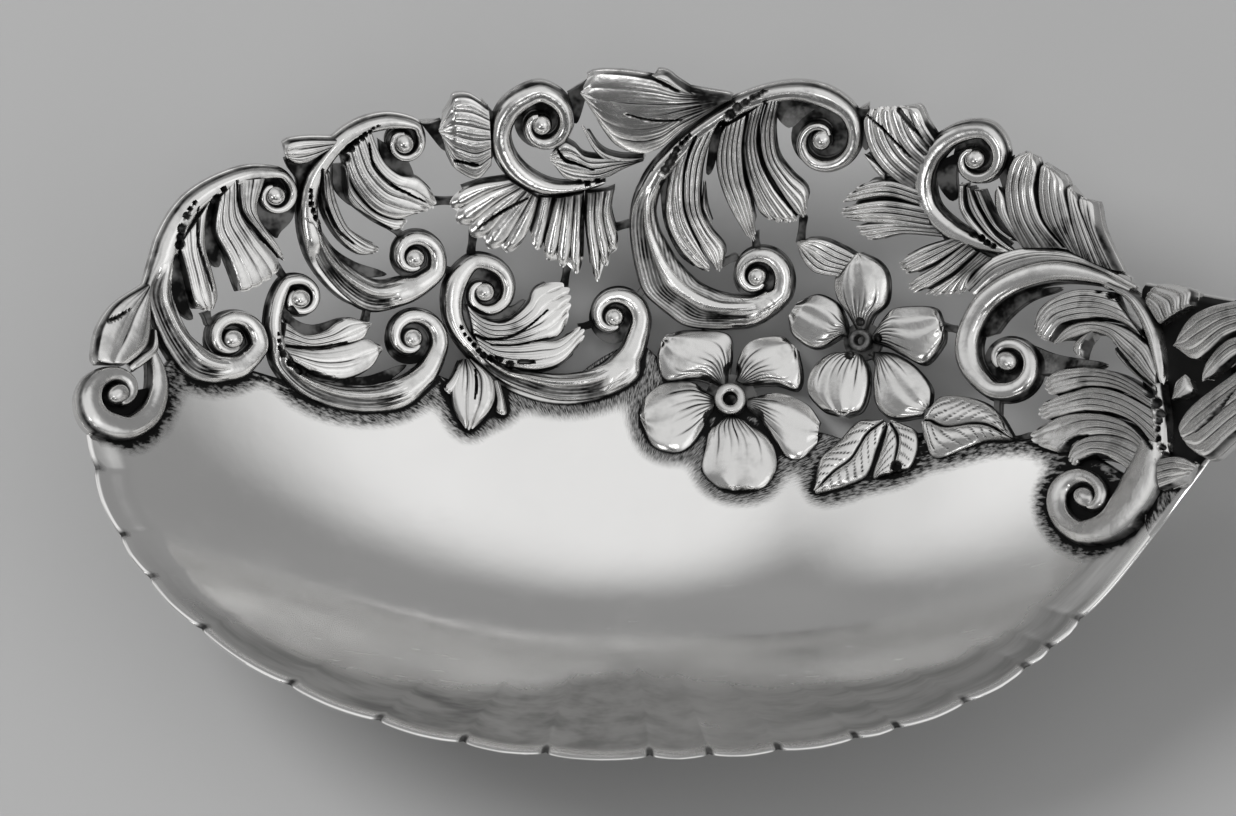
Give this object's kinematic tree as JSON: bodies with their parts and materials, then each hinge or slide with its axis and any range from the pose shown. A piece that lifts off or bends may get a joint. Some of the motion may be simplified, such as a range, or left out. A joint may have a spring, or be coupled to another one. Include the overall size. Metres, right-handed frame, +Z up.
{
  "type": "berry spoon",
  "caption": "Broad oval serving spoon with a scalloped rim, one side of the bowl pierced openwork of acanthus scrolls, blossoms and leaf sprays, on an arched handle.",
  "frame": {"origin": "middle of the small flat under the bowl, below the bowl's widest station", "axes": "+X from the bowl's tip towards the handle's end, +Y towards the openwork side, +Z up out of the bowl"},
  "size_m": [0.2313, 0.0647, 0.036],
  "materials": {
    "polished_silver": "polished sterling sheet with fine wear scratches, darkened along the border",
    "handle_silver": "softly polished sterling",
    "oxidised_silver": "chased sterling, bright on the crowns and black oxide in the recesses"
  },
  "bodies": {
    "root": {"bowl": "polished_silver", "handle": "handle_silver", "acanthus_scroll_large": "oxidised_silver", "flower_lower": "oxidised_silver", "flower_upper": "oxidised_silver", "acanthus_scroll_4": "oxidised_silver", "acanthus_scroll_3": "oxidised_silver", "acanthus_scroll_2": "oxidised_silver", "acanthus_scroll_1": "oxidised_silver", "end_scroll": "oxidised_silver", "end_leaf": "oxidised_silver", "rim_bud": "oxidised_silver", "rim_c_scroll": "oxidised_silver", "shell_leaf": "oxidised_silver", "leaf_fan_left": "oxidised_silver", "leaf_fan_right": "oxidised_silver", "trefoil_leaf": "oxidised_silver", "rim_leaf_large": "oxidised_silver", "small_leaf": "oxidised_silver", "leaf_lower_left": "oxidised_silver", "leaf_lower_right": "oxidised_silver", "c_scroll_right_top": "oxidised_silver", "c_scroll_large_right": "oxidised_silver", "spray_up": "oxidised_silver", "spray_left": "oxidised_silver", "spray_low": "oxidised_silver", "spray_right": "oxidised_silver", "acanthus_right_upper": "oxidised_silver", "acanthus_right_lower": "oxidised_silver", "shoulder_leaf_far": "oxidised_silver", "shoulder_leaf_middle": "oxidised_silver", "shoulder_leaf_near": "oxidised_silver"}
  },
  "joints": []
}
